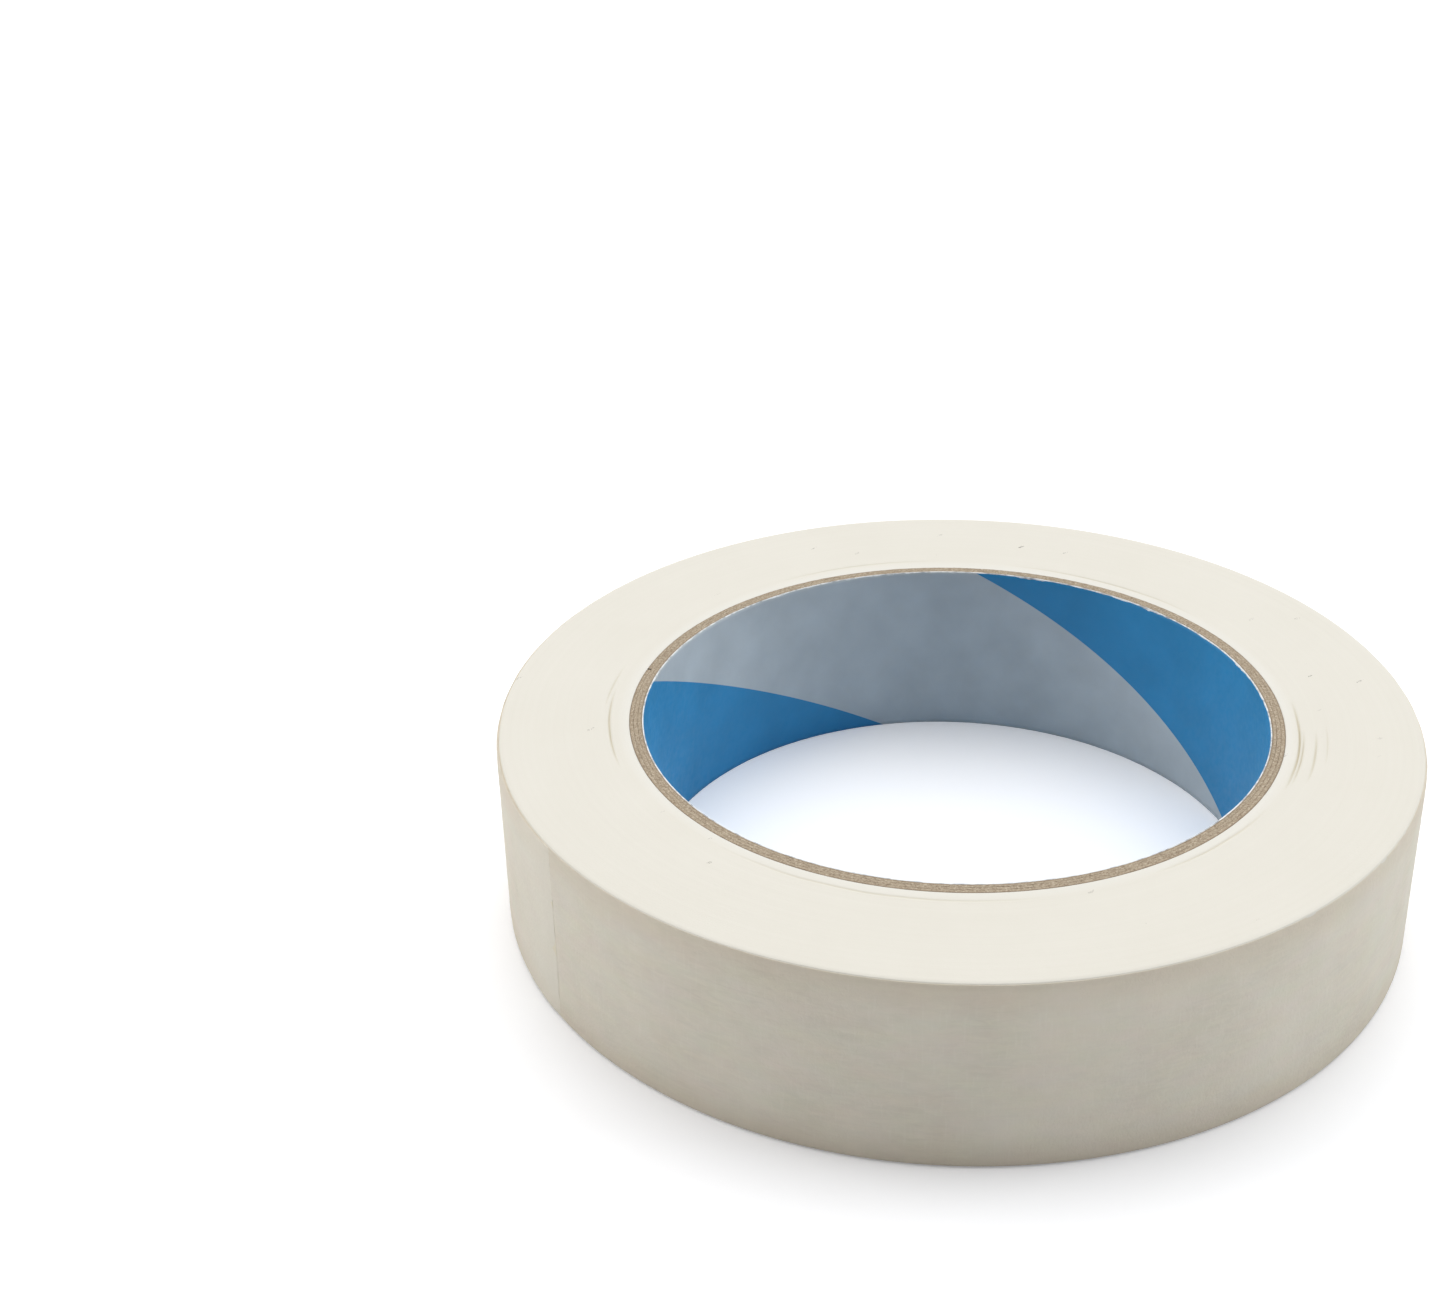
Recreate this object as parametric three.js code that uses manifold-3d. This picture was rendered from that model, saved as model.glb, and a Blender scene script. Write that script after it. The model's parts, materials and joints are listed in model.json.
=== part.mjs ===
// Masking tape roll lying on one face: crepe paper tape wound on a spiral-wound paperboard core.
// Millimetres, +Z up. Z is the roll's axis, and the origin is the centre of the bore on the lower face.
// The tape is wound anticlockwise seen from above. Its free end peels off the roll, so the last
// stretch of the tape is cut into short hinged pieces, which bend at the butt lines between them.

import * as THREE from 'three';
import { mergeVertices } from 'three/addons/utils/BufferGeometryUtils.js';
import Module from 'manifold-3d';

// ---- Driving dimensions: core ----
const boreDiameter = 76.2;      // a 3 inch core
const rollWidth = 24;           // the core and the tape are slit together from one long log
const linerThickness = 0.15;    // printed paper that lines the bore
const plyThickness = 0.5;       // each of the board plies
const plyNames = ['core_inner_ply', 'core_middle_ply', 'core_outer_ply'];
const glueThickness = 0.02;     // between one ply and the next, and under the first turn of tape
const plyStripWidth = 112;      // the strips that the core is wound from run askew round the mandrel
const seamGap = 0.1;            // between the two edges of a strip where they butt
const linerSeamAzimuth = 240;   // where each strip's seam leaves the lower face, in degrees
const firstPlySeamAzimuth = 330;
const plySeamStagger = -115;    // from one ply's seam to the next

// ---- Driving dimensions: tape ----
const backingThickness = 0.105; // crepe paper
const adhesiveThickness = 0.02; // the adhesive under each turn, left as the gap between turns
const turnCount = 130;
const foldGap = 0.04;           // between the pieces that the last stretch of tape is cut into

// ---- Facets: every round piece shares one set of azimuths, so neighbouring faces stay parallel ----
const facetCount = 120;
const freeEndFacet = 72.5;      // where the tape ends, in facets from +X: 217.5 degrees
const peelPieceFacets = [3, 3, 3, 5, 6]; // from the root of the peel to the free end

// ---- Sizes worked out from those ----
const boreRadius = boreDiameter / 2;
const firstPlyRadius = boreRadius + linerThickness + glueThickness;
const coreRadius = firstPlyRadius + plyNames.length * (plyThickness + glueThickness) - glueThickness;
const tapeThickness = backingThickness + adhesiveThickness;
const tapeInnerRadius = coreRadius + glueThickness;
const outerRadius = tapeInnerRadius + turnCount * tapeThickness;
const peelFacets = peelPieceFacets.reduce((sum, facets) => sum + facets, 0);

const boardColour = 0xb59e81;
const linerColour = 0x2f7db4;
const tapeColour = 0xeae6d8;

const wasm = await Module();
wasm.setup();

function azimuthOfFacet(facet) {
  return (2 * Math.PI * facet) / facetCount;
}

function polar(radius, azimuth) {
  return new THREE.Vector2(radius * Math.cos(azimuth), radius * Math.sin(azimuth));
}

// A circle with one corner at every facet's azimuth.
function circlePoints(radius) {
  return Array.from({ length: facetCount }, (_, facet) => polar(radius, azimuthOfFacet(facet)));
}

// The flat outline, as thick as the roll is wide.
function acrossTheRoll(outline) {
  return new THREE.ExtrudeGeometry(outline, { depth: rollWidth, bevelEnabled: false });
}

function asManifold(geometry) {
  const bare = geometry.clone();
  bare.deleteAttribute('normal');
  bare.deleteAttribute('uv');
  const merged = mergeVertices(bare, 1e-4);
  return new wasm.Manifold(new wasm.Mesh({
    numProp: 3,
    vertProperties: Float32Array.from(merged.attributes.position.array),
    triVerts: Uint32Array.from(merged.index.array),
  }));
}

function asGeometry(manifold) {
  const mesh = manifold.getMesh();
  const geometry = new THREE.BufferGeometry();
  geometry.setAttribute('position', new THREE.BufferAttribute(mesh.vertProperties, 3));
  geometry.setIndex(new THREE.BufferAttribute(mesh.triVerts, 1));
  geometry.computeVertexNormals();
  return geometry;
}

function piece(name, geometry, colour, roughness) {
  const material = new THREE.MeshStandardMaterial({ color: colour, roughness, metalness: 0 });
  const mesh = new THREE.Mesh(geometry, material);
  mesh.name = name;
  return mesh;
}

// ---- Core ----

// The seam of a spiral-wound strip: a thin wall that climbs round the core, right-handed. A strip
// of width w laid round a tube of circumference c butts against itself when it climbs at asin(w / c).
function seamCutter(innerRadius, outerRadius, lowerAzimuth) {
  const overrun = 1;
  const levelCount = 24;
  const circumference = 2 * Math.PI * innerRadius;
  const climb = Math.asin(plyStripWidth / circumference);
  const pitch = circumference * Math.tan(climb);
  const halfGapAngle = seamGap / Math.sin(climb) / (2 * innerRadius);
  const radii = [innerRadius - overrun, outerRadius + overrun];
  const positions = [];
  for (let level = 0; level <= levelCount; level += 1) {
    const z = -overrun + ((rollWidth + 2 * overrun) * level) / levelCount;
    const azimuth = THREE.MathUtils.degToRad(lowerAzimuth) + (2 * Math.PI * z) / pitch;
    const corners = [
      polar(radii[0], azimuth - halfGapAngle),
      polar(radii[1], azimuth - halfGapAngle),
      polar(radii[1], azimuth + halfGapAngle),
      polar(radii[0], azimuth + halfGapAngle),
    ];
    corners.forEach((corner) => positions.push(corner.x, corner.y, z));
  }
  const indices = [0, 2, 1, 0, 3, 2];
  for (let level = 0; level < levelCount; level += 1) {
    for (let side = 0; side < 4; side += 1) {
      const a = 4 * level + side;
      const b = 4 * level + ((side + 1) % 4);
      indices.push(a, b, b + 4, a, b + 4, a + 4);
    }
  }
  const top = 4 * levelCount;
  indices.push(top, top + 1, top + 2, top, top + 2, top + 3);
  const geometry = new THREE.BufferGeometry();
  geometry.setAttribute('position', new THREE.Float32BufferAttribute(positions, 3));
  geometry.setIndex(indices);
  return geometry;
}

// One ply: a ring cut through by its strip's seam.
function spiralPly(innerRadius, thickness, seamAzimuth) {
  const outline = new THREE.Shape(circlePoints(innerRadius + thickness));
  outline.holes.push(new THREE.Path(circlePoints(innerRadius)));
  const ring = asManifold(acrossTheRoll(outline));
  const seam = asManifold(seamCutter(innerRadius, innerRadius + thickness, seamAzimuth));
  return asGeometry(ring.subtract(seam));
}

function core() {
  const group = new THREE.Group();
  const liner = spiralPly(boreRadius, linerThickness, linerSeamAzimuth);
  group.add(piece('core_liner', liner, linerColour, 0.45));
  plyNames.forEach((name, index) => {
    const innerRadius = firstPlyRadius + index * (plyThickness + glueThickness);
    const seamAzimuth = firstPlySeamAzimuth + index * plySeamStagger;
    group.add(piece(name, spiralPly(innerRadius, plyThickness, seamAzimuth), boardColour, 0.95));
  });
  return group;
}

// ---- Tape ----

// Outer radius of the last turn, a spiral that grows by one tape thickness from the turn's start,
// facet 0, to the free end, facet facetCount, which lies on top of that start.
function lastTurnRadius(facet) {
  return outerRadius - tapeThickness * (1 - facet / facetCount);
}

function lastTurnAzimuth(facet) {
  return azimuthOfFacet(freeEndFacet + facet);
}

// All the turns but the last, as one solid. Its outer edge is the spiral one turn further in, so it
// has a step as high as the tape is thick where the last turn starts.
function woundTurns() {
  const points = [];
  for (let facet = 0; facet <= facetCount; facet += 1) {
    points.push(polar(lastTurnRadius(facet) - tapeThickness, lastTurnAzimuth(facet)));
  }
  const outline = new THREE.Shape(points);
  outline.holes.push(new THREE.Path(circlePoints(tapeInnerRadius)));
  return acrossTheRoll(outline);
}

// A stretch of the last turn, one backing thick, held off its neighbours by half a fold gap.
function tapeStretch(firstFacet, lastFacet) {
  const trim = foldGap / 2 / outerRadius;
  const outer = [];
  const inner = [];
  for (let facet = firstFacet; facet <= lastFacet; facet += 1) {
    const isFirst = facet === firstFacet ? trim : 0;
    const isLast = facet === lastFacet ? trim : 0;
    const azimuth = lastTurnAzimuth(facet) + isFirst - isLast;
    outer.push(polar(lastTurnRadius(facet), azimuth));
    inner.push(polar(lastTurnRadius(facet) - backingThickness, azimuth));
  }
  return acrossTheRoll(new THREE.Shape([...outer, ...inner.reverse()]));
}

function tape() {
  const group = new THREE.Group();
  group.add(piece('tape_wound_turns', woundTurns(), tapeColour, 0.85));
  const rootFacet = facetCount - peelFacets;
  group.add(piece('tape_outer_turn', tapeStretch(0, rootFacet), tapeColour, 0.85));
  let firstFacet = rootFacet;
  peelPieceFacets.forEach((facets, index) => {
    const stretch = tapeStretch(firstFacet, firstFacet + facets);
    group.add(piece(`tape_end_${index + 1}`, stretch, tapeColour, 0.85));
    firstFacet += facets;
  });
  return group;
}

const tapeRoll = new THREE.Group();
tapeRoll.add(core(), tape());

export default tapeRoll;
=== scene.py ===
import json
import math

import bpy
import numpy as np
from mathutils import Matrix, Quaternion, Vector


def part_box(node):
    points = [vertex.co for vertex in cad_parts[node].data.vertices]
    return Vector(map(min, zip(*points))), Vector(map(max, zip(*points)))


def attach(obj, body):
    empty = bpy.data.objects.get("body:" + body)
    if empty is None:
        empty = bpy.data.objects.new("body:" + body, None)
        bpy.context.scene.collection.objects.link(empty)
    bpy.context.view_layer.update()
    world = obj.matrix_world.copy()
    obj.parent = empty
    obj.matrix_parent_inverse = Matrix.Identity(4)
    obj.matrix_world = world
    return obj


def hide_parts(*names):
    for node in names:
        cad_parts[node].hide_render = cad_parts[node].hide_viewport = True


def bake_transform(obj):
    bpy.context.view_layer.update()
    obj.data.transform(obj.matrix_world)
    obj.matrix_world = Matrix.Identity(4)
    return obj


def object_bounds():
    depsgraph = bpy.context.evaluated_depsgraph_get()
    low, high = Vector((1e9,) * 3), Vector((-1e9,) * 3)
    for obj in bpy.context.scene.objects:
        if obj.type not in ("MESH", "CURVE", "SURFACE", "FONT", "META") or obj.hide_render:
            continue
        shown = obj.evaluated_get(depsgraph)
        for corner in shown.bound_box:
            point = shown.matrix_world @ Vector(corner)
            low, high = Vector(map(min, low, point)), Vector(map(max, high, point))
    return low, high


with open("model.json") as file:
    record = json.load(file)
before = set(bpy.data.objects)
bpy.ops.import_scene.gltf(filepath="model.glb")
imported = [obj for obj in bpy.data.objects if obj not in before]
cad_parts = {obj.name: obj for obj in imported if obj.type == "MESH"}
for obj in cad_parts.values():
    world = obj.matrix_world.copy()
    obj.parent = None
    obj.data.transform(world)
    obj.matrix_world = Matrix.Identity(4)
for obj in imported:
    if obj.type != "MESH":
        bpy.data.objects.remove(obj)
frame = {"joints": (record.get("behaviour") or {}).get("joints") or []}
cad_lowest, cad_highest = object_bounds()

# ---- Board plies of the core ----
# Three strips of brown chipboard, each wound on a slant round a mandrel and glued to the one below.
# The log is slit with a knife, so the cut edges are flush with the tape and slightly furry. On one
# side the wall was pressed thinner as it was wound.

MM = 0.001
roll_height = cad_highest.z
ply_thickness = 0.5 * MM
ply_strip_width = 112 * MM
seam_gap = 0.1 * MM             # between the two edges of a ply's strip, where it meets itself
ply_seams = {"core_inner_ply": 330, "core_middle_ply": 215, "core_outer_ply": 100}
first_ply_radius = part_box("core_inner_ply")[1].x - ply_thickness
ply_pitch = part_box("core_middle_ply")[1].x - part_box("core_inner_ply")[1].x
ply_wall_rows = 22
ply_edge_points = 9
knife_fur = 0.05 * MM           # how far fibres stand up from a cut edge
core_mean_radius = 39 * MM
board_rim_width = 0.22 * MM     # the darker edge of the board, next to the liner and the tape
board_colour = (0.425, 0.345, 0.250)
board_pale_fibre = (0.56, 0.475, 0.36)
board_dark_fibre = (0.27, 0.205, 0.14)
pressed_azimuth = 88            # where the board is thinnest
pressed_spread = 48             # degrees to each side
pressed_share = 0.27            # of its thickness


def lattice_noise(x, y, seed, around=509):
    """Value noise from 0 to 1. Random numbers stand at whole x and y, and between them the value is
    blended by the smooth step 3t^2 - 2t^3 in each direction. It repeats in x after `around` cells."""
    table = np.random.default_rng(seed).random((around, 509))
    x, y = np.broadcast_arrays(x, y)
    left, low = np.floor(x).astype(int), np.floor(y).astype(int)
    tx, ty = x - left, y - low
    tx, ty = tx * tx * (3 - 2 * tx), ty * ty * (3 - 2 * ty)
    a, b = left % around, (left + 1) % around
    c, d = low % 509, (low + 1) % 509
    return (table[a, c] * (1 - tx) + table[b, c] * tx) * (1 - ty) + (
        table[a, d] * (1 - tx) + table[b, d] * tx) * ty


def on_cylinder(radius, azimuth, height):
    """Points at (radius cos azimuth, radius sin azimuth, height), azimuth in radians."""
    radius, azimuth, height = np.broadcast_arrays(radius, azimuth, height)
    return np.stack([radius * np.cos(azimuth), radius * np.sin(azimuth), height], -1)


def zipped_end(loop):
    """Faces that close a loop of an even number of points: a triangle at point 0, quads that join
    points j and j + 1 to points -j - 1 and -j, and a triangle at the point opposite."""
    half = len(loop) // 2
    j = np.arange(1, half - 1)
    quads = np.stack([loop[j], loop[j + 1], loop[-j - 1], loop[-j]], -1)
    return [loop[[0, 1, -1]].tolist()] + quads.tolist() + [loop[half - 1:half + 2].tolist()]


def skin(name, outlines, ends, material, body, uv=None, marks=None):
    """A closed skin over a row of closed outlines: points j and j + 1 of outline i make one face with
    the same points of outline i + 1. ends is "ring" where the last outline meets the first, "zipped"
    where an end is closed by joining point j to point -j, and "flat" where an end is one flat face.
    uv and marks give each point its place on the tape and named values for the materials."""
    rows, points = outlines.shape[:2]
    index = np.arange(rows * points).reshape(rows, points)
    here = index if ends == "ring" else index[:-1]
    there = np.roll(index, -1, 0) if ends == "ring" else index[1:]
    side = np.stack([here, np.roll(here, -1, 1), np.roll(there, -1, 1), there], -1).reshape(-1, 4)
    place = outlines.reshape(-1, 3)
    a, b, c = (place[side[:, k]] for k in range(3))
    inside_out = np.einsum("ij,ij->i", a, np.cross(b, c)).sum() < 0
    faces = side.tolist()
    for loop in (np.roll(index[0][::-1], 1), index[-1]):
        if ends == "flat":
            faces.append(loop.tolist())
        if ends == "zipped":
            faces.extend(zipped_end(loop))
    if inside_out:
        faces = [face[::-1] for face in faces]
    mesh = bpy.data.meshes.new(name)
    mesh.from_pydata(place, [], faces)
    mesh.polygons.foreach_set("use_smooth", np.arange(len(mesh.polygons)) < len(side))
    corners = np.zeros(len(mesh.loops), int)
    mesh.loops.foreach_get("vertex_index", corners)
    if uv is not None:
        layer = mesh.uv_layers.new(name="along_the_tape")
        layer.uv.foreach_set("vector", uv.reshape(-1, 2)[corners].astype(np.float32).ravel())
    for label, values in (marks or {}).items():
        mark = mesh.attributes.new(label, "FLOAT", "POINT")
        mark.data.foreach_set("value", values.astype(np.float32).ravel())
    mesh.materials.append(material)
    piece = bpy.data.objects.new(name, mesh)
    bpy.context.scene.collection.objects.link(piece)
    if body:
        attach(piece, body)
    return piece


def add_node(tree, kind, inputs=None, **settings):
    """A new shader node. inputs maps a socket's name or number to a value, or to a socket to link."""
    node = tree.nodes.new(kind)
    for key, value in settings.items():
        setattr(node, key, value)
    for key, value in (inputs or {}).items():
        if isinstance(value, bpy.types.NodeSocket):
            tree.links.new(value, node.inputs[key])
        else:
            node.inputs[key].default_value = value
    return node


def new_group(name, inputs, outputs):
    """An empty shader node group with those named inputs and outputs, and its two end nodes."""
    group = bpy.data.node_groups.new(name, "ShaderNodeTree")
    for label, (kind, value) in inputs.items():
        made = group.interface.new_socket(label, in_out="INPUT", socket_type=kind)
        if value is not None:
            made.default_value = value
    for label, kind in outputs.items():
        group.interface.new_socket(label, in_out="OUTPUT", socket_type=kind)
    return group, group.nodes.new("NodeGroupInput"), group.nodes.new("NodeGroupOutput")


def new_material(name, **finish):
    """An empty material with a Principled shader whose even values are set on its own sockets."""
    material = bpy.data.materials.new(name)
    material.use_nodes = True
    shader = material.node_tree.nodes["Principled BSDF"]
    for label, value in finish.items():
        shader.inputs[label.replace("_", " ").title().replace("Ior", "IOR")].default_value = value
    return material, material.node_tree, shader


def paper_fibres_group():
    """Short fibres lying every way: three noises stretched along three directions, the sharpest
    taken at each point. Tone is 0 to 1, even around 0.5. Height is the same with finer grit on it."""
    group, start, end = new_group(
        "paper_fibres",
        {"Vector": ("NodeSocketVector", None), "Fibres Per Metre": ("NodeSocketFloat", 3000),
         "Stretch": ("NodeSocketFloat", 6)},
        {"Tone": "NodeSocketFloat", "Height": "NodeSocketFloat"})
    scaled = add_node(group, "ShaderNodeVectorMath", {0: start.outputs["Vector"]}, operation="SCALE")
    group.links.new(start.outputs["Fibres Per Metre"], scaled.inputs["Scale"])
    squeeze = add_node(group, "ShaderNodeMath",
                       {0: 1.0, 1: start.outputs["Stretch"]}, operation="DIVIDE")
    stretched = add_node(group, "ShaderNodeCombineXYZ", {0: squeeze.outputs[0], 1: 1.0, 2: 1.0})
    tones = []
    for turn in ((0.3, 0.2, 0.1), (0.5, 1.1, 1.9), (1.3, 0.4, 4.0)):
        turned = add_node(group, "ShaderNodeVectorRotate",
                          {"Vector": scaled.outputs[0], "Rotation": turn}, rotation_type="EULER_XYZ")
        drawn = add_node(group, "ShaderNodeVectorMath",
                         {0: turned.outputs[0], 1: stretched.outputs[0]}, operation="MULTIPLY")
        noise = add_node(group, "ShaderNodeTexNoise",
                         {"Vector": drawn.outputs[0], "Scale": 1.0, "Detail": 1.0, "Roughness": 0.5})
        tones.append(noise.outputs["Fac"])
    most = add_node(group, "ShaderNodeMath", {0: tones[0], 1: tones[1]}, operation="MAXIMUM")
    least = add_node(group, "ShaderNodeMath", {0: most.outputs[0], 1: tones[2]}, operation="ADD")
    tone = add_node(group, "ShaderNodeMapRange",
                    {"Value": least.outputs[0], "From Min": 0.75, "From Max": 1.4})
    grit = add_node(group, "ShaderNodeTexNoise",
                    {"Vector": scaled.outputs[0], "Scale": 2.7, "Detail": 2.0, "Roughness": 0.6})
    height = add_node(group, "ShaderNodeMath",
                      {0: tone.outputs[0], 1: grit.outputs["Fac"]}, operation="ADD")
    group.links.new(tone.outputs[0], end.inputs["Tone"])
    group.links.new(height.outputs[0], end.inputs["Height"])
    return group


paper_fibres = paper_fibres_group()


def board_material():
    """Brown chipboard: fine pale and dark fibres, drawn out along the layers of the cut edge by reading
    them in radius and azimuth, a darker line at each glue film, and a dark rim on both sides of the
    board. Depth in the board comes from its mesh, so the lines stay with the plies where it is thin."""
    material, tree, shader = new_material("chipboard", roughness=0.95, ior=1.4)
    spot = add_node(tree, "ShaderNodeTexCoord").outputs["Object"]
    part = add_node(tree, "ShaderNodeSeparateXYZ", {0: spot})
    level = add_node(tree, "ShaderNodeCombineXYZ", {0: part.outputs["X"], 1: part.outputs["Y"]})
    radius = add_node(tree, "ShaderNodeVectorMath", {0: level.outputs[0]}, operation="LENGTH")
    azimuth = add_node(tree, "ShaderNodeMath",
                       {0: part.outputs["Y"], 1: part.outputs["X"]}, operation="ARCTAN2")
    arc = add_node(tree, "ShaderNodeMath", {0: azimuth.outputs[0], 1: core_mean_radius},
                   operation="MULTIPLY")
    unrolled = add_node(tree, "ShaderNodeCombineXYZ",
                        {0: arc.outputs[0], 1: radius.outputs["Value"], 2: part.outputs["Z"]})
    layered = add_node(tree, "ShaderNodeMapping",
                       {"Vector": unrolled.outputs[0], "Scale": (0.7, 1.0, 1.0)})
    fibres = add_node(tree, "ShaderNodeGroup",
                      {"Vector": layered.outputs[0], "Fibres Per Metre": 5200.0, "Stretch": 2.0},
                      node_tree=paper_fibres)
    coarse = add_node(tree, "ShaderNodeTexNoise",
                      {"Vector": layered.outputs[0], "Scale": 5200.0, "Detail": 3.0, "Roughness": 0.65})
    pale = add_node(tree, "ShaderNodeMapRange",
                    {"Value": fibres.outputs["Tone"], "From Min": 0.45, "From Max": 0.85, "To Max": 1.0})
    with_pale = add_node(tree, "ShaderNodeMix",
                         {"Factor": pale.outputs[0], "A": (*board_colour, 1), "B": (*board_pale_fibre, 1)},
                         data_type="RGBA")
    dark = add_node(tree, "ShaderNodeMapRange",
                    {"Value": coarse.outputs["Fac"], "From Min": 0.48, "From Max": 0.64, "To Max": 1.0})
    with_dark = add_node(tree, "ShaderNodeMix",
                         {"Factor": dark.outputs[0], "A": with_pale.outputs["Result"],
                          "B": (*board_dark_fibre, 1)}, data_type="RGBA")
    depth = add_node(tree, "ShaderNodeAttribute", attribute_name="depth").outputs["Fac"]
    plies_in = add_node(tree, "ShaderNodeMath", {0: depth, 1: ply_pitch}, operation="DIVIDE")
    in_ply = add_node(tree, "ShaderNodeMath", {0: plies_in.outputs[0], 1: 1.0}, operation="PINGPONG")
    by_film = add_node(tree, "ShaderNodeMath", {0: in_ply.outputs[0], 1: 0.5}, operation="PINGPONG")
    film = add_node(tree, "ShaderNodeMapRange",
                    {"Value": by_film.outputs[0], "From Min": 0.02, "From Max": 0.16,
                     "To Min": 0.35, "To Max": 0.0})
    filmed = add_node(tree, "ShaderNodeMix",
                      {"Factor": film.outputs[0], "A": with_dark.outputs["Result"],
                       "B": (*board_dark_fibre, 1)}, data_type="RGBA")
    from_middle = add_node(tree, "ShaderNodeMath",
                           {0: depth, 1: 1.5 * ply_pitch}, operation="SUBTRACT")
    aside = add_node(tree, "ShaderNodeMath", {0: from_middle.outputs[0]}, operation="ABSOLUTE")
    rim = add_node(tree, "ShaderNodeMapRange",
                   {"Value": aside.outputs[0], "From Min": 1.5 * ply_pitch - board_rim_width,
                    "From Max": 1.5 * ply_pitch - 0.02 * MM, "To Min": 0.0, "To Max": 0.95})
    rimmed = add_node(tree, "ShaderNodeMix",
                      {"Factor": rim.outputs[0], "A": filmed.outputs["Result"],
                       "B": (*board_dark_fibre, 1)}, data_type="RGBA")
    tree.links.new(rimmed.outputs["Result"], shader.inputs["Base Color"])
    bump = add_node(tree, "ShaderNodeBump",
                    {"Height": fibres.outputs["Height"], "Strength": 0.7, "Distance": 0.05 * MM})
    tree.links.new(bump.outputs[0], shader.inputs["Normal"])
    return material


def ply_azimuth(share, height, inner_radius, lower_seam):
    """Azimuth of the point a share of the way round a ply from its seam. The seam climbs the core
    right-handed, at the angle whose sine is the strip's width over the ply's circumference."""
    circumference = 2 * math.pi * inner_radius
    climb = math.asin(ply_strip_width / circumference)
    gap = seam_gap / math.sin(climb) / inner_radius
    pitch = circumference * math.tan(climb)
    seam = math.radians(lower_seam) + 2 * math.pi * height / pitch
    return seam + gap / 2 + share * (2 * math.pi - gap)


def pressed_radius(radius, azimuth):
    """A radius in the board, or just outside it, drawn in towards the first ply's inner side by a share
    of its depth. The share is a bell curve of the azimuth round pressed_azimuth."""
    aside = (np.degrees(azimuth) - pressed_azimuth + 180) % 360 - 180
    share = pressed_share * np.exp(-(aside / pressed_spread) ** 2)
    return radius - share * np.maximum(radius - first_ply_radius, 0)


def ply_outline(inner_radius, outer_radius, wall_rows, edge_points):
    """Radius and height of one ply's cross-section as a closed loop, from the middle of its lower
    edge, out along it, up the outer wall, in along the upper edge and down the inner wall."""
    across = np.linspace(0, 1, edge_points)
    radius_across = inner_radius + (outer_radius - inner_radius) * across
    climb = np.linspace(0, roll_height, wall_rows + 2)[1:-1]
    middle = edge_points // 2
    radius = np.concatenate([
        radius_across[middle:], np.full(wall_rows, outer_radius), radius_across[::-1],
        np.full(wall_rows, inner_radius), radius_across[:middle]])
    height = np.concatenate([
        np.zeros(edge_points - middle), climb, np.full(edge_points, roll_height),
        climb[::-1], np.zeros(middle)])
    return radius, height


def spiral_ply(name, inner_radius, outer_radius, lower_seam, wall_rows, edge_points, material):
    """A ply: its outline carried round from seam to seam. Both cut edges are furry: their height
    wanders by knife_fur as lattice noise, in cells of 0.35 mm round and 0.12 mm across with wider
    ones over them. The mark "depth" is how far in the board a point lay before it was pressed."""
    round_steps = 960
    radius, height = ply_outline(inner_radius, outer_radius, wall_rows, edge_points)
    share = np.linspace(0, 1, round_steps)[:, None]
    azimuth = ply_azimuth(share, height[None, :], inner_radius, lower_seam)
    arc = azimuth * inner_radius / MM
    seed = int(lower_seam)
    tufts = lattice_noise(arc / 0.35, radius / MM / 0.12, seed) - 0.6
    tufts = tufts + 0.6 * (lattice_noise(arc / 2.3, radius / MM / 0.3, seed + 1) - 0.6)
    cut = np.where(height >= roll_height, 1.0, np.where(height <= 0, -1.0, 0.0))
    lift = np.where(cut < 0, np.minimum(tufts, 0), tufts) * cut * knife_fur
    outlines = on_cylinder(pressed_radius(radius, azimuth), azimuth, height + lift)
    depth = np.broadcast_to(radius - first_ply_radius, azimuth.shape)
    return skin(name, outlines, "zipped", material, "roll", marks={"depth": depth})


chipboard = board_material()
for ply_name, ply_seam in ply_seams.items():
    ply_outer_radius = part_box(ply_name)[1].x
    ply = spiral_ply("board_" + ply_name[5:], ply_outer_radius - ply_thickness, ply_outer_radius,
                     ply_seam, ply_wall_rows, ply_edge_points, chipboard)
    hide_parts(ply_name)

# ---- Printed liner of the bore ----
# Thin white paper printed blue with one wide grey-white band, wound inside the plies on the same slant,
# so that the band climbs the bore as a helix. The knife frays its rim to a narrow white edge.

liner_thickness = 0.15 * MM
liner_outer_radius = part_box("core_liner")[1].x
bore_radius = liner_outer_radius - liner_thickness
liner_seam = 240
band_starts_at = 52             # degrees, where the grey-white band crosses half the roll's height
band_ends_at = 139
liner_wall_rows = 40
liner_edge_points = 5
print_edge_share = 0.0006       # of a turn, over which one print colour gives way to the other
liner_blue = (0.024, 0.262, 0.525)
liner_grey = (0.545, 0.585, 0.595)
liner_paper = (0.84, 0.85, 0.84)
liner_worn_paper = (0.36, 0.37, 0.38)


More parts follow.
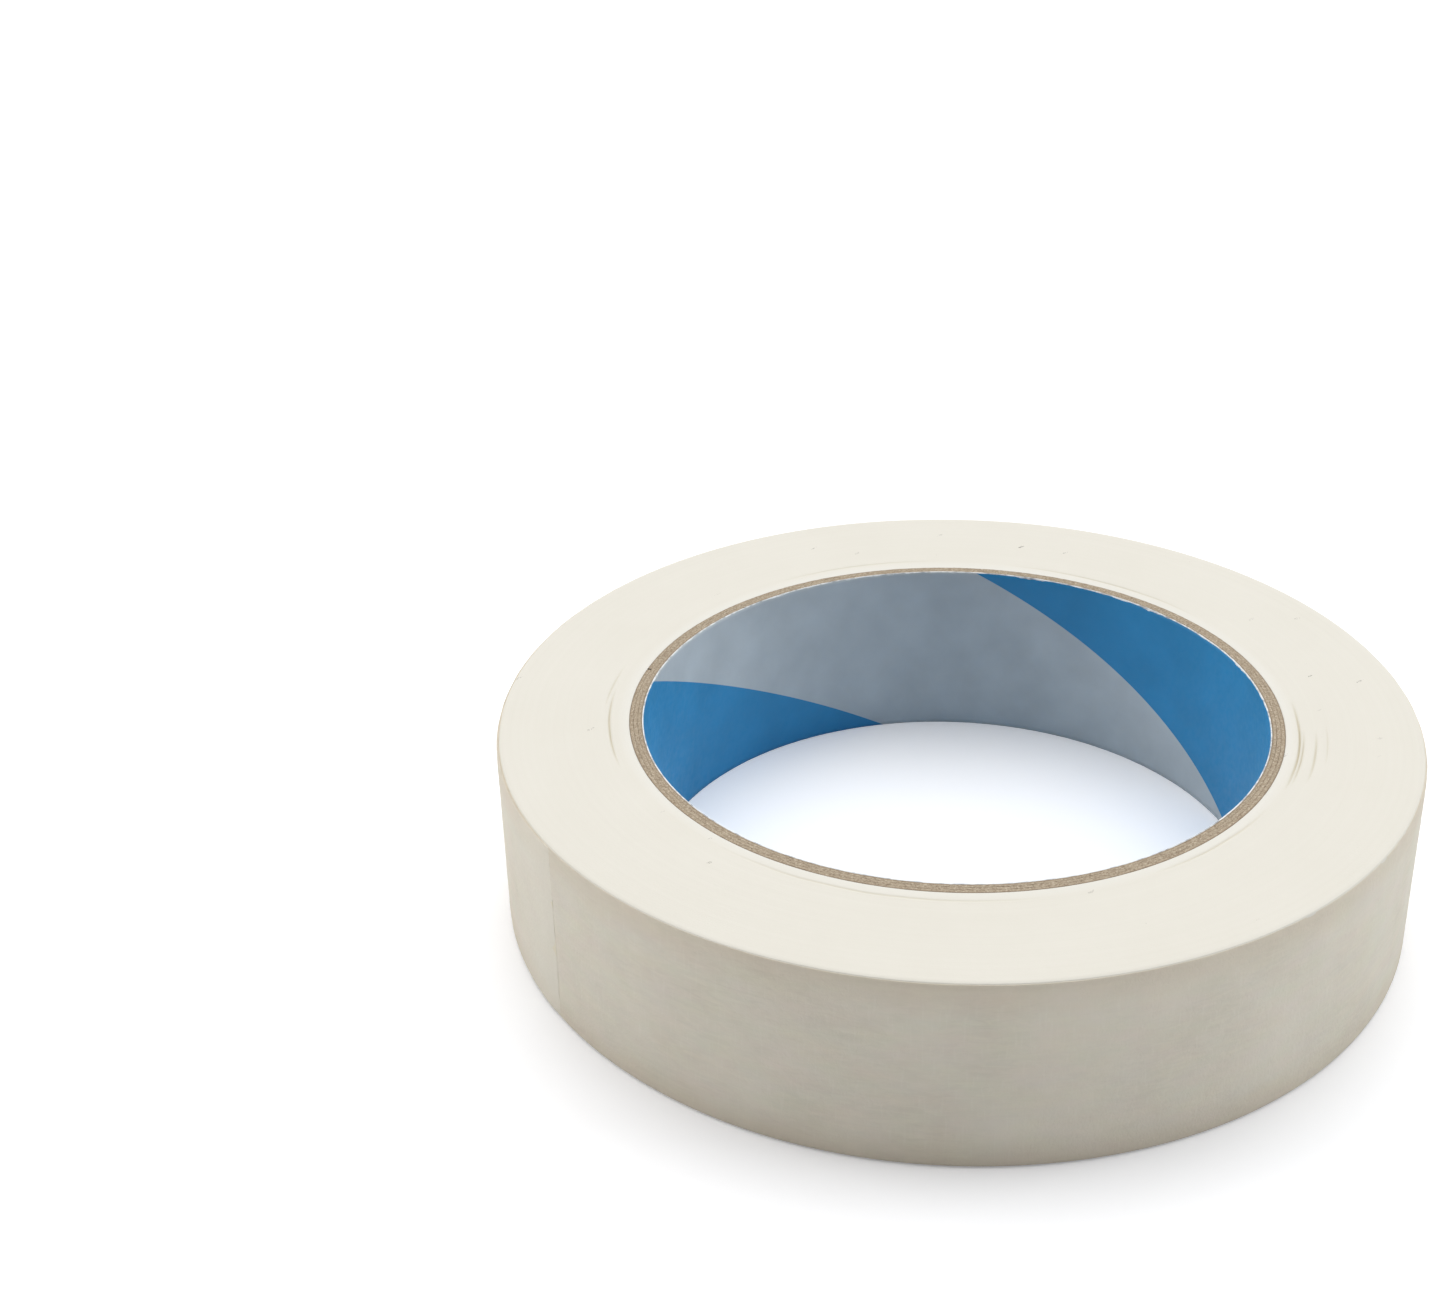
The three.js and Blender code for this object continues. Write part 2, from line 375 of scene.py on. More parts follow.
def liner_material():
    """Satin print on paper. The band's share of the turn is azimuth less height over the helix's pitch,
    and the print stops short of the frayed rim, where bare white paper shows."""
    material, tree, shader = new_material("printed_liner", ior=1.45)
    spot = add_node(tree, "ShaderNodeTexCoord").outputs["Object"]
    part = add_node(tree, "ShaderNodeSeparateXYZ", {0: spot})
    circumference = 2 * math.pi * bore_radius
    pitch = circumference * math.tan(math.asin(ply_strip_width / circumference))
    azimuth = add_node(tree, "ShaderNodeMath",
                       {0: part.outputs["Y"], 1: part.outputs["X"]}, operation="ARCTAN2")
    turns = add_node(tree, "ShaderNodeMath", {0: azimuth.outputs[0], 1: 2 * math.pi}, operation="DIVIDE")
    climbed = add_node(tree, "ShaderNodeMath", {0: part.outputs["Z"], 1: pitch}, operation="DIVIDE")
    offset = band_starts_at / 360 - roll_height / 2 / pitch
    helix = add_node(tree, "ShaderNodeMath",
                     {0: turns.outputs[0], 1: climbed.outputs[0]}, operation="SUBTRACT")
    from_band = add_node(tree, "ShaderNodeMath", {0: helix.outputs[0], 1: offset}, operation="SUBTRACT")
    share = add_node(tree, "ShaderNodeMath", {0: from_band.outputs[0]}, operation="FRACT")
    band_share = (band_ends_at - band_starts_at) / 360
    enters = add_node(tree, "ShaderNodeMapRange",
                      {"Value": share.outputs[0], "From Min": 0.0,
                       "From Max": print_edge_share})
    leaves = add_node(tree, "ShaderNodeMapRange",
                      {"Value": share.outputs[0], "From Min": band_share,
                       "From Max": band_share + print_edge_share, "To Min": 1.0, "To Max": 0.0})
    band = add_node(tree, "ShaderNodeMath",
                    {0: enters.outputs[0], 1: leaves.outputs[0]}, operation="MULTIPLY")
    fibres = add_node(tree, "ShaderNodeGroup",
                      {"Vector": spot, "Fibres Per Metre": 1500.0, "Stretch": 4.0},
                      node_tree=paper_fibres)
    cloud = add_node(tree, "ShaderNodeTexNoise", {"Vector": spot, "Scale": 150.0, "Detail": 4.0})
    ink = add_node(tree, "ShaderNodeMapRange",
                   {"Value": cloud.outputs["Fac"], "From Min": 0.3, "From Max": 0.7,
                    "To Min": 0.92, "To Max": 1.06})
    colour = add_node(tree, "ShaderNodeMix",
                      {"Factor": band.outputs[0], "A": (*liner_blue, 1), "B": (*liner_grey, 1)},
                      data_type="RGBA")
    inked = add_node(tree, "ShaderNodeVectorMath", {0: colour.outputs["Result"]}, operation="SCALE")
    tree.links.new(ink.outputs[0], inked.inputs["Scale"])
    ragged = add_node(tree, "ShaderNodeTexNoise", {"Vector": spot, "Scale": 420.0, "Detail": 4.0})
    bare_from = add_node(tree, "ShaderNodeMapRange",
                         {"Value": ragged.outputs["Fac"], "From Min": 0.50, "From Max": 0.76,
                          "To Min": roll_height - 0.09 * MM, "To Max": roll_height - 0.36 * MM})
    worn = add_node(tree, "ShaderNodeTexNoise", {"Vector": spot, "Scale": 900.0, "Detail": 2.0})
    rim_tone = add_node(tree, "ShaderNodeMapRange",
                        {"Value": worn.outputs["Fac"], "From Min": 0.30, "From Max": 0.54})
    rim_colour = add_node(tree, "ShaderNodeMix",
                          {"Factor": rim_tone.outputs[0], "A": (*liner_worn_paper, 1),
                           "B": (*liner_paper, 1)}, data_type="RGBA")
    above = add_node(tree, "ShaderNodeMath",
                     {0: part.outputs["Z"], 1: bare_from.outputs[0]}, operation="GREATER_THAN")
    printed = add_node(tree, "ShaderNodeMix",
                       {"Factor": above.outputs[0], "A": inked.outputs[0],
                        "B": rim_colour.outputs["Result"]}, data_type="RGBA")
    tree.links.new(printed.outputs["Result"], shader.inputs["Base Color"])
    gloss = add_node(tree, "ShaderNodeMapRange",
                     {"Value": fibres.outputs["Tone"], "To Min": 0.42, "To Max": 0.60})
    tree.links.new(gloss.outputs[0], shader.inputs["Roughness"])
    bump = add_node(tree, "ShaderNodeBump",
                    {"Height": fibres.outputs["Height"], "Strength": 0.25, "Distance": 0.02 * MM})
    tree.links.new(bump.outputs[0], shader.inputs["Normal"])
    return material


liner = spiral_ply("printed_liner", bore_radius, liner_outer_radius, liner_seam, liner_wall_rows,
                   liner_edge_points, liner_material())
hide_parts("core_liner")

# ---- Wound turns of tape ----
# One strip of cream crepe paper with its adhesive, wound 130 times on the core. The slitting knife
# leaves a smooth layered face: each turn's edge stands a hair higher or lower than the next, the
# first turns by the core have slipped apart in places, and dust has stuck in a few spots.

turn_thickness = 0.125 * MM
backing_thickness = 0.105 * MM
free_end_azimuth = 217.5
core_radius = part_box("core_outer_ply")[1].x
tape_inner_radius = core_radius + 0.02 * MM
last_hinge = frame["joints"][-1]["pos_m"]
last_hinge_azimuth = math.degrees(math.atan2(last_hinge[1], last_hinge[0])) % 360
last_hinge_turn = (free_end_azimuth - last_hinge_azimuth) / 360
tape_outer_radius = math.hypot(last_hinge[0], last_hinge[1]) + turn_thickness * last_hinge_turn
edge_fall = 0.26 * MM           # how far the worn corner of the roll falls below the slit face
edge_fall_width = 0.95 * MM
edge_inset = 0.18 * MM          # how far the outer turns are bent in at their edges
edge_inset_height = 0.75 * MM
last_separate_turn = 0.2        # the outer turn reaches this far under the free end
tape_cream = (0.745, 0.715, 0.640)
tape_shade = (0.665, 0.628, 0.538)
tape_first_turns = (0.775, 0.757, 0.705)
dust_colour = (0.16, 0.13, 0.10)
gap_shadow_colour = (0.50, 0.43, 0.27)
dust_per_metre = 170
loose_turns = (                 # radius in mm, azimuth, half-length in degrees, depth in mm
    (41.45, 351, 15, 0.26), (41.85, 347, 9, 0.16), (43.3, 348, 8, 0.16), (42.3, 190, 13, 0.20),
    (42.9, 176, 7, 0.10), (41.1, 316, 14, 0.12), (41.3, 258, 26, 0.10), (41.2, 60, 20, 0.14),
    (41.6, 110, 16, 0.10), (44.6, 352, 6, 0.07))


def corner_inset(from_edge):
    """How far the outer turns are bent in near a slit face: the square of how far the height is into
    the last edge_inset_height of the tape's width."""
    into = np.clip(1 - from_edge / edge_inset_height, 0, 1)
    return edge_inset * into * into


def corner_fall(radius):
    """How far the worn corner lies below the slit face at a radius: the square of how far the radius
    is into the last edge_fall_width of the roll."""
    into = np.clip((radius - tape_outer_radius) / edge_fall_width + 1, 0, 1)
    return edge_fall * into * into


def tape_radius(turns_in):
    """Outer radius of the tape that many turns in from its free end: it loses one tape thickness a
    turn."""
    return tape_outer_radius - turn_thickness * turns_in


def tape_azimuth(turns_in):
    """Azimuth in radians of the tape that many turns in from its free end."""
    return math.radians(free_end_azimuth) - 2 * math.pi * turns_in


def slit_face_relief(radius, azimuth):
    """How far the slit face stands proud, and how open it is between two turns. The relief is
    lattice noise by turn number, at 1, 4 and 17 turns, which changes slowly round the roll. Each
    loose turn is a groove that fades out at both ends."""
    turn = (radius - tape_inner_radius) / turn_thickness
    lap = azimuth / (2 * math.pi)
    relief = 0.008 * (lattice_noise(lap * 9, turn, 11, 9) - 0.5)
    relief = relief + 0.014 * (lattice_noise(lap * 6, turn / 4.3, 12, 6) - 0.5)
    relief = relief + 0.030 * (lattice_noise(lap * 4, turn / 17, 13, 4) - 0.5)
    gap = np.zeros_like(relief)
    for at, middle, half_length, depth in loose_turns:
        wander = 0.14 * (lattice_noise(lap * 60, turn * 0 + at, 14, 60) - 0.5)
        aside = (radius / MM - at - wander) / 0.10
        along = (np.degrees(azimuth) - middle + 180) % 360 - 180
        open_here = np.clip(1 - (along / half_length) ** 2, 0, 1)
        gap = np.maximum(gap, depth * open_here * np.exp(-aside**2))
    return (relief - gap) * MM, np.clip(gap / 0.25, 0, 1)


def tape_shades_group():
    """Slow warm and pale patches of undyed paper. Vector is in metres. Tone is 0 to 1, for patches
    about 13 mm across. Patch is plain noise round 0.5, for blotches about 4 mm across."""
    group, start, end = new_group("tape_shades", {"Vector": ("NodeSocketVector", None)},
                                  {"Tone": "NodeSocketFloat", "Patch": "NodeSocketFloat"})
    slow = add_node(group, "ShaderNodeTexNoise",
                    {"Vector": start.outputs["Vector"], "Scale": 75.0, "Detail": 3.0, "Roughness": 0.55})
    patch = add_node(group, "ShaderNodeTexNoise",
                     {"Vector": start.outputs["Vector"], "Scale": 260.0, "Detail": 2.0})
    tone = add_node(group, "ShaderNodeMapRange",
                    {"Value": slow.outputs["Fac"], "From Min": 0.30, "From Max": 0.70})
    group.links.new(tone.outputs[0], end.inputs["Tone"])
    group.links.new(patch.outputs["Fac"], end.inputs["Patch"])
    return group


tape_shades = tape_shades_group()


def slit_face_material():
    """Edges of the wound tape: cream, each turn a slightly different tone, with thin shadows where
    turns have slipped apart and scattered specks of dust."""
    material, tree, shader = new_material("slit_tape_face", roughness=0.78, ior=1.42)
    spot = add_node(tree, "ShaderNodeTexCoord").outputs["Object"]
    part = add_node(tree, "ShaderNodeSeparateXYZ", {0: spot})
    flat = add_node(tree, "ShaderNodeCombineXYZ", {0: part.outputs["X"], 1: part.outputs["Y"]})
    radius = add_node(tree, "ShaderNodeVectorMath", {0: flat.outputs[0]}, operation="LENGTH")
    azimuth = add_node(tree, "ShaderNodeMath",
                       {0: part.outputs["Y"], 1: part.outputs["X"]}, operation="ARCTAN2")
    lap = add_node(tree, "ShaderNodeMath", {0: azimuth.outputs[0], 1: 2 * math.pi}, operation="DIVIDE")
    layers = add_node(tree, "ShaderNodeMath",
                      {0: radius.outputs["Value"], 1: turn_thickness}, operation="DIVIDE")
    turn = add_node(tree, "ShaderNodeMath",
                    {0: layers.outputs[0], 1: lap.outputs[0]}, operation="SUBTRACT")
    by_turn = add_node(tree, "ShaderNodeTexNoise", {"W": turn.outputs[0], "Scale": 1.0, "Detail": 1.0},
                       noise_dimensions="1D")
    by_group = add_node(tree, "ShaderNodeTexNoise", {"W": turn.outputs[0], "Scale": 0.16, "Detail": 2.0},
                        noise_dimensions="1D")
    lines = add_node(tree, "ShaderNodeMath", {0: by_turn.outputs["Fac"], 1: by_group.outputs["Fac"]},
                     operation="ADD")
    line_tone = add_node(tree, "ShaderNodeMapRange",
                         {"Value": lines.outputs[0], "From Min": 0.6, "From Max": 1.4,
                          "To Min": 0.0, "To Max": 0.17})
    shades = add_node(tree, "ShaderNodeGroup", {"Vector": spot}, node_tree=tape_shades)
    patch = add_node(tree, "ShaderNodeMath", {0: shades.outputs["Tone"], 1: 0.16}, operation="MULTIPLY")
    factor = add_node(tree, "ShaderNodeMath",
                      {0: line_tone.outputs[0], 1: patch.outputs[0]}, operation="ADD")
    cream = add_node(tree, "ShaderNodeMix",
                     {"Factor": factor.outputs[0], "A": (*tape_cream, 1), "B": (*tape_shade, 1)},
                     data_type="RGBA")
    first_turns = add_node(tree, "ShaderNodeMapRange",
                           {"Value": radius.outputs["Value"], "From Min": tape_inner_radius + 0.5 * MM,
                            "From Max": tape_inner_radius + 1.4 * MM, "To Min": 0.45, "To Max": 0.0})
    cream = add_node(tree, "ShaderNodeMix",
                     {"Factor": first_turns.outputs[0], "A": cream.outputs["Result"],
                      "B": (*tape_first_turns, 1)}, data_type="RGBA")
    uneven = add_node(tree, "ShaderNodeTexNoise", {"Vector": spot, "Scale": 3000.0, "Detail": 1.0})
    blurred = add_node(tree, "ShaderNodeMapRange",
                       {"Value": uneven.outputs["Fac"], "From Min": 0.3, "From Max": 0.7,
                        "To Min": -0.0004, "To Max": 0.0004})
    aside = add_node(tree, "ShaderNodeMath", {0: part.outputs["Z"], 1: 5.0, 2: part.outputs["X"]},
                     operation="MULTIPLY_ADD")
    by_face = add_node(tree, "ShaderNodeCombineXYZ", {0: aside.outputs[0], 1: part.outputs["Y"]})
    smeared = add_node(tree, "ShaderNodeVectorMath", {0: by_face.outputs[0], 1: blurred.outputs[0]},
                       operation="ADD")
    dust = add_node(tree, "ShaderNodeTexVoronoi",
                    {"Vector": smeared.outputs[0], "Scale": dust_per_metre, "Randomness": 1.0},
                    voronoi_dimensions="2D")
    chance = add_node(tree, "ShaderNodeSeparateColor", {"Color": dust.outputs["Color"]})
    dust_limit = add_node(tree, "ShaderNodeMapRange",
                          {"Value": chance.outputs["Red"], "From Min": 0.80, "From Max": 1.0,
                           "To Min": 0.0, "To Max": 0.042})
    speck = add_node(tree, "ShaderNodeMath",
                     {0: dust.outputs["Distance"], 1: dust_limit.outputs[0]}, operation="LESS_THAN")
    darkness = add_node(tree, "ShaderNodeMapRange",
                        {"Value": chance.outputs["Green"], "From Min": 0.4, "From Max": 1.0,
                         "To Min": 0.20, "To Max": 0.90})
    speck_depth = add_node(tree, "ShaderNodeMath",
                           {0: speck.outputs[0], 1: darkness.outputs[0]}, operation="MULTIPLY")
    dusty = add_node(tree, "ShaderNodeMix",
                     {"Factor": speck_depth.outputs[0], "A": cream.outputs["Result"],
                      "B": (*dust_colour, 1)}, data_type="RGBA")
    # painted shadow: where turns have slipped apart, the open gap is painted darker by the mark gap
    gap = add_node(tree, "ShaderNodeAttribute", attribute_name="gap")
    gap_depth = add_node(tree, "ShaderNodeMath", {0: gap.outputs["Fac"], 1: 0.95}, operation="MULTIPLY")
    open_turns = add_node(tree, "ShaderNodeMix",
                          {"Factor": gap_depth.outputs[0], "A": dusty.outputs["Result"],
                           "B": (*gap_shadow_colour, 1)}, data_type="RGBA")
    tree.links.new(open_turns.outputs["Result"], shader.inputs["Base Color"])
    fibres = add_node(tree, "ShaderNodeGroup",
                      {"Vector": spot, "Fibres Per Metre": 4200.0, "Stretch": 3.0},
                      node_tree=paper_fibres)
    ridge = add_node(tree, "ShaderNodeMath",
                     {0: fibres.outputs["Height"], 1: lines.outputs[0]}, operation="ADD")
    bump = add_node(tree, "ShaderNodeBump",
                    {"Height": ridge.outputs[0], "Strength": 0.30, "Distance": 0.02 * MM})
    tree.links.new(bump.outputs[0], shader.inputs["Normal"])
    return material


def wound_turns():
    """The wound mass, all turns but the outer ones: an outline of radius and height carried round the
    axis. Its radius is stretched to meet the underside of the lowest separate turn outside it. Points
    stand closer together by the core and in the last twentieth, where the corner is worn."""
    round_steps = 300
    azimuth = np.linspace(0, 2 * math.pi, round_steps, endpoint=False)[:, None]
    turns_in = (math.radians(free_end_azimuth) - azimuth) / (2 * math.pi)
    lowest_turn = (turns_in - last_separate_turn) % 1 + last_separate_turn
    outer = tape_radius(lowest_turn) - turn_thickness
    inner = pressed_radius(tape_inner_radius, azimuth)
    share = np.concatenate([[0, 0.0008], np.linspace(0, 1, 126)[1:-6], np.linspace(0.955, 1, 12)])
    walls = np.array([0.3, 0.5, 0.9, 2, 12, 22, 23.1, 23.5, 23.7]) * MM
    shares = np.concatenate([share, np.ones(walls.size), share[::-1], np.zeros(walls.size)])[None, :]
    heights = np.concatenate([np.full(share.size, roll_height), walls[::-1],
                              np.zeros(share.size), walls])[None, :]
    from_edge = np.minimum(heights, roll_height - heights)
    radius = inner + shares * (outer - corner_inset(from_edge) - inner)
    relief, gap = slit_face_relief(radius, azimuth)
    face = np.where(heights >= roll_height, 1.0, np.where(heights <= 0, -1.0, 0.0))
    inner_corner = (shares == 0) * 0.04 * MM
    height = heights + face * (relief - 0.02 * MM - inner_corner - corner_fall(radius))
    height = np.where(face < 0, np.maximum(height, 0), height)
    outlines = on_cylinder(radius, azimuth, height)
    return skin("tape_wound_mass", outlines, "ring", slit_face_material(), "roll",
                marks={"gap": gap * (face != 0)})


wound_mass = wound_turns()
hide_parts("tape_wound_turns")

# ---- Outer turns of tape ----
# Crepe paper, creped across its width so that it stretches: fine pebbled folds, longer soft creases
# along the tape and pale fibres across it. The turn under the last one shows where the end is peeled.

gripped_azimuth = 259            # where a hand has squeezed small wrinkles into the outer turn
gripped_height = 15.5 * MM
edge_darkening_width = 5 * MM            # how far in from its edges the tape turns darker and browner
pale_end_length = 16 * MM        # how much of the free end is painted paler, a painted highlight
crepe_cream = (0.755, 0.705, 0.600)
crepe_shade = (0.655, 0.608, 0.500)
crepe_edge = (0.650, 0.555, 0.425)
crepe_fleck = (0.80, 0.765, 0.675)
free_end_highlight_colour = (0.78, 0.74, 0.64)
adhesive_side = (0.72, 0.66, 0.50)


def crepe_height(along, across):
    """Height of the crepe in metres, from lattice noise: folds 2 mm long down the tape and 0.8 mm wide,
    finer ones between them, soft creases 7 mm long, and slow dents. The folds wander, and are stronger
    in some patches. Short wrinkles, the cube of the noise, stand in a few clusters and over the
    gripped place, which fades out as a bell curve 13 mm long and 5 mm high."""
    u, v = along / MM, across / MM
    wander = 1.4 * lattice_noise(u / 5, v / 4, 21) + 0.5 * lattice_noise(u / 1.7, v / 1.3, 22)
    fold = 1 - np.abs(2 * lattice_noise((u + wander) / 2.1, (v + wander / 3) / 0.8, 23) - 1)
    fine = lattice_noise((u - wander) / 1.0, (v + wander) / 0.7, 24)
    crease = 1 - np.abs(2 * lattice_noise(u / 7 + 3, (v + wander / 2) / 1.3, 25) - 1)
    patch = lattice_noise(u / 11, v / 7, 26)
    dent = lattice_noise(u / 16, v / 10, 27)
    cluster = np.clip(lattice_noise(u / 17, v / 8, 28) - 0.55, 0, 1) / 0.45
    gripped_turn = 1 - (gripped_azimuth - free_end_azimuth) / 360
    gripped_u = gripped_turn * 2 * math.pi * tape_outer_radius / MM
    gripped = np.exp(-((u - gripped_u) / 13) ** 2 - ((v - gripped_height / MM) / 5) ** 2)
    cluster = np.maximum(cluster, 1.3 * gripped)
    wrinkle = lattice_noise((u + wander) / 2.3, (v + wander / 2) / 0.85, 29) ** 3
    height = 0.012 * (fold - 0.5) * (0.4 + patch) + 0.006 * (fine - 0.5)
    height = height + 0.045 * (crease**2 - 0.4) * patch**2 + 0.045 * (dent - 0.5)
    return (height - 0.10 * wrinkle * cluster) * MM


def crepe_material():
    """Cream crepe paper with a dull release coat outside. Its pattern follows the tape's own length
    and width, in metres, from its UV map: warm patches, fine streaks along the tape, faint tints and
    pale fibres. Both edges turn darker and browner, and the free end is painted paler as a painted
    highlight. The adhesive side is yellower."""
    material, tree, shader = new_material("crepe_paper", ior=1.42)
    strip = add_node(tree, "ShaderNodeUVMap", uv_map="along_the_tape").outputs[0]
    shades = add_node(tree, "ShaderNodeGroup", {"Vector": strip}, node_tree=tape_shades)
    across = add_node(tree, "ShaderNodeMapping", {"Vector": strip, "Scale": (1700, 1500, 1)})
    folds = add_node(tree, "ShaderNodeTexNoise",
                     {"Vector": across.outputs[0], "Scale": 1.0, "Detail": 3.0, "Distortion": 0.6},
                     noise_dimensions="2D")
    pebble_map = add_node(tree, "ShaderNodeMapping", {"Vector": strip, "Scale": (1900, 1700, 1)})
    pebbles = add_node(tree, "ShaderNodeTexNoise",
                       {"Vector": pebble_map.outputs[0], "Scale": 1.0, "Detail": 2.0, "Distortion": 0.8},
                       noise_dimensions="2D")
    fibre_map = add_node(tree, "ShaderNodeMapping",
                         {"Vector": strip, "Rotation": (0, 0, 0.12), "Scale": (3300, 330, 1)})
    fibres = add_node(tree, "ShaderNodeTexNoise",
                      {"Vector": fibre_map.outputs[0], "Scale": 1.0, "Detail": 0.0},
                      noise_dimensions="2D")
    pale_fibre = add_node(tree, "ShaderNodeMapRange",
                          {"Value": fibres.outputs["Fac"], "From Min": 0.66, "From Max": 0.82,
                           "To Max": 0.12})
    tone = add_node(tree, "ShaderNodeMath", {0: shades.outputs["Tone"], 1: 0.60}, operation="MULTIPLY")
    patch_tone = add_node(tree, "ShaderNodeMath",
                          {0: shades.outputs["Patch"], 1: 0.30, 2: tone.outputs[0]},
                          operation="MULTIPLY_ADD")
    paper = add_node(tree, "ShaderNodeMix",
                     {"Factor": patch_tone.outputs[0], "A": (*crepe_cream, 1), "B": (*crepe_shade, 1)},
                     data_type="RGBA")
    streak_map = add_node(tree, "ShaderNodeMapping", {"Vector": strip, "Scale": (420, 2100, 1)})
    streaks = add_node(tree, "ShaderNodeTexNoise",
                       {"Vector": streak_map.outputs[0], "Scale": 1.0, "Detail": 3.0, "Roughness": 0.55,
                        "Distortion": 0.7}, noise_dimensions="2D")
    tint_map = add_node(tree, "ShaderNodeMapping", {"Vector": strip, "Scale": (150, 330, 1)})
    tints = add_node(tree, "ShaderNodeTexNoise",
                     {"Vector": tint_map.outputs[0], "Scale": 1.0, "Detail": 4.0, "Roughness": 0.6},
                     noise_dimensions="2D")
    streak_depth = add_node(tree, "ShaderNodeMapRange",
                            {"Value": shades.outputs["Tone"], "To Min": 0.02, "To Max": 0.18})
    streak_side = add_node(tree, "ShaderNodeMath", {0: streaks.outputs["Fac"], 1: 0.53},
                           operation="SUBTRACT")
    streak_tone = add_node(tree, "ShaderNodeMath",
                           {0: streak_side.outputs[0], 1: streak_depth.outputs[0], 2: 0.995},
                           operation="MULTIPLY_ADD")
    tinting = add_node(tree, "ShaderNodeVectorMath",
                       {0: tints.outputs["Color"], 1: (0.075, 0.075, 0.075), 2: (0.9625, 0.9625, 0.9625)},
                       operation="MULTIPLY_ADD")
    toning = add_node(tree, "ShaderNodeVectorMath", {0: tinting.outputs[0]}, operation="SCALE")
    tree.links.new(streak_tone.outputs[0], toning.inputs["Scale"])
    toned = add_node(tree, "ShaderNodeVectorMath", {0: paper.outputs["Result"], 1: toning.outputs[0]},
                     operation="MULTIPLY")
    flecked = add_node(tree, "ShaderNodeMix",
                       {"Factor": pale_fibre.outputs[0], "A": toned.outputs[0],
                        "B": (*crepe_fleck, 1)}, data_type="RGBA")
    sticky = add_node(tree, "ShaderNodeAttribute", attribute_name="adhesive")
    length = add_node(tree, "ShaderNodeSeparateXYZ", {0: strip})
    side = add_node(tree, "ShaderNodeMath", {0: length.outputs["Y"], 1: roll_height / 2},
                    operation="SUBTRACT")
    from_middle = add_node(tree, "ShaderNodeMath", {0: side.outputs[0]}, operation="ABSOLUTE")
    # darker and browner towards both edges of the tape
    edge_darkening = add_node(tree, "ShaderNodeMapRange",
                      {"Value": from_middle.outputs[0], "From Min": roll_height / 2 - edge_darkening_width,
                       "From Max": roll_height / 2, "To Min": 0.0, "To Max": 0.40},
                      interpolation_type="SMOOTHSTEP")
    edged = add_node(tree, "ShaderNodeMix",
                     {"Factor": edge_darkening.outputs[0], "A": flecked.outputs["Result"], "B": (*crepe_edge, 1)},
                     data_type="RGBA")
    # painted highlight: the free end is painted paler, fading out over pale_end_length from the cut
    from_cut = add_node(tree, "ShaderNodeMapRange",
                        {"Value": length.outputs["X"], "From Min": 0.0, "From Max": pale_end_length,
                         "To Min": 0.58, "To Max": 0.0}, interpolation_type="SMOOTHSTEP")
    cut_pale = add_node(tree, "ShaderNodeMix",
                        {"Factor": from_cut.outputs[0], "A": edged.outputs["Result"],
                         "B": (*free_end_highlight_colour, 1)}, data_type="RGBA")
    sided = add_node(tree, "ShaderNodeMix",
                     {"Factor": sticky.outputs["Fac"], "A": cut_pale.outputs["Result"],
                      "B": (*adhesive_side, 1)}, data_type="RGBA")
    tree.links.new(sided.outputs["Result"], shader.inputs["Base Color"])
    gloss = add_node(tree, "ShaderNodeMapRange",
                     {"Value": sticky.outputs["Fac"], "To Min": 0.72, "To Max": 0.38})
    tree.links.new(gloss.outputs[0], shader.inputs["Roughness"])
    relief = add_node(tree, "ShaderNodeMath",
                      {0: folds.outputs["Fac"], 1: pebbles.outputs["Fac"]}, operation="ADD")
    bump = add_node(tree, "ShaderNodeBump",
                    {"Height": relief.outputs[0], "Strength": 0.7, "Distance": 0.045 * MM})
    tree.links.new(bump.outputs[0], shader.inputs["Normal"])
    return material


def tape_outline():
    """One cross-section of the tape as a closed loop: its height across the width, its depth below the
    outer side, and 1 on the outer side, from the lower edge up that side and down the adhesive side.
    Both sides bend in towards both edges as corner_inset says."""
    near_edge = np.array([0.01, 0.05, 0.12, 0.22, 0.36, 0.54, 0.80, 1.1])
    width = roll_height / MM
    outer = np.concatenate([near_edge, np.linspace(1.5, width - 1.5, 60), width - near_edge[::-1]])
    inner = np.array([23.93, 23.6, 23, 16, 8, 1, 0.4, 0.07])
    height = np.concatenate([[0], outer, [width], inner]) * MM
    outward = np.ones(height.size)
    outward[outer.size + 2:] = 0
    depth = corner_inset(np.minimum(height, roll_height - height)) + (1 - outward) * backing_thickness
    depth[[0, outer.size + 1]] += backing_thickness / 3
    return height, depth, outward


crepe_paper = crepe_material()
rubbed_length = 3 * MM          # how much of the free end is rubbed down against the turn below
hair_turn = 0.00005             # a hair along the tape, in turns
outer_turn_steps = 900


def stations(first_turn, last_turn, steps):
    """Even places along the tape, with one more a hair inside each end, so that two stretches that
    meet have the same slope where they meet."""
    rows = np.linspace(first_turn, last_turn, steps)
    second = first_turn - hair_turn
    last_but_one = last_turn + hair_turn
    return np.concatenate([rows[:1], [second], rows[1:-1], [last_but_one], rows[-1:]])


